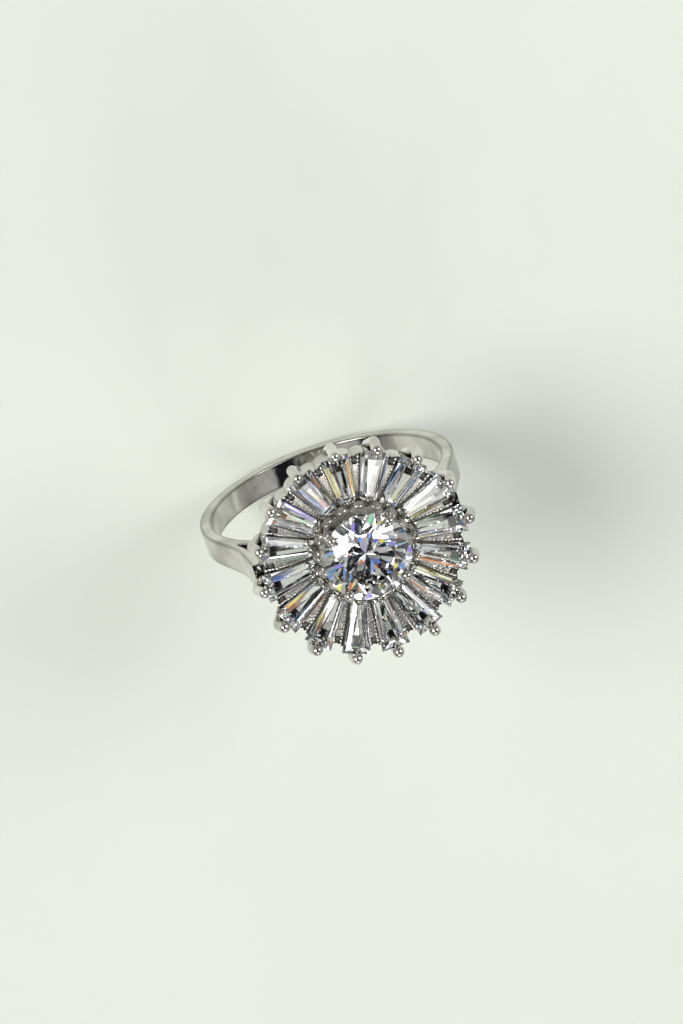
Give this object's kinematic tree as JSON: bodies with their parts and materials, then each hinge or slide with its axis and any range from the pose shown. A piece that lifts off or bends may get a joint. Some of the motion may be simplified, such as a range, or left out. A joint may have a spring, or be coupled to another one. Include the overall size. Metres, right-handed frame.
{
  "type": "cocktail ring",
  "caption": "Ballerina-style cluster ring: a raised round brilliant inside a fan of tapered baguettes, on a scalloped gallery with cathedral shoulders.",
  "frame": {"origin": "centre of the finger hole, midway through the band's width", "axes": "+Y along the finger, +Z out through the head's middle, +X towards one shoulder"},
  "size_m": [0.02, 0.0172, 0.0256],
  "materials": {
    "shank_metal": "mirror-polished rhodium plate over silver",
    "gallery_metal": "bright cast rhodium plate",
    "seat_metal": "stippled cast rhodium plate, darkened in its recesses",
    "prong_metal": "polished rhodium plate",
    "baguette_stone": "polished clear cubic zirconia, step cut",
    "round_stone": "polished clear cubic zirconia, brilliant cut"
  },
  "bodies": {
    "root": {"baguette_01": "baguette_stone", "baguette_02": "baguette_stone", "baguette_03": "baguette_stone", "baguette_04": "baguette_stone", "baguette_05": "baguette_stone", "baguette_06": "baguette_stone", "baguette_07": "baguette_stone", "baguette_08": "baguette_stone", "baguette_09": "baguette_stone", "baguette_10": "baguette_stone", "baguette_11": "baguette_stone", "baguette_12": "baguette_stone", "baguette_13": "baguette_stone", "baguette_14": "baguette_stone", "baguette_15": "baguette_stone", "baguette_16": "baguette_stone", "base_collar": "seat_metal", "basket_lower_rail": "prong_metal", "basket_upper_rail": "prong_metal", "centre_prong_1": "prong_metal", "centre_prong_2": "prong_metal", "centre_prong_3": "prong_metal", "centre_prong_4": "prong_metal", "centre_stone": "round_stone", "gallery_cup": "gallery_metal", "inner_prong_01": "prong_metal", "inner_prong_02": "prong_metal", "inner_prong_03": "prong_metal", "inner_prong_04": "prong_metal", "inner_prong_05": "prong_metal", "inner_prong_06": "prong_metal", "inner_prong_07": "prong_metal", "inner_prong_08": "prong_metal", "inner_prong_09": "prong_metal", "inner_prong_10": "prong_metal", "inner_prong_11": "prong_metal", "inner_prong_12": "prong_metal", "inner_prong_13": "prong_metal", "inner_prong_14": "prong_metal", "inner_prong_15": "prong_metal", "inner_prong_16": "prong_metal", "outer_prong_01": "prong_metal", "outer_prong_02": "prong_metal", "outer_prong_03": "prong_metal", "outer_prong_04": "prong_metal", "outer_prong_05": "prong_metal", "outer_prong_06": "prong_metal", "outer_prong_07": "prong_metal", "outer_prong_08": "prong_metal", "outer_prong_09": "prong_metal", "outer_prong_10": "prong_metal", "outer_prong_11": "prong_metal", "outer_prong_12": "prong_metal", "outer_prong_13": "prong_metal", "outer_prong_14": "prong_metal", "outer_prong_15": "prong_metal", "outer_prong_16": "prong_metal", "seat_frame": "seat_metal", "shank": "shank_metal"}
  },
  "joints": []
}
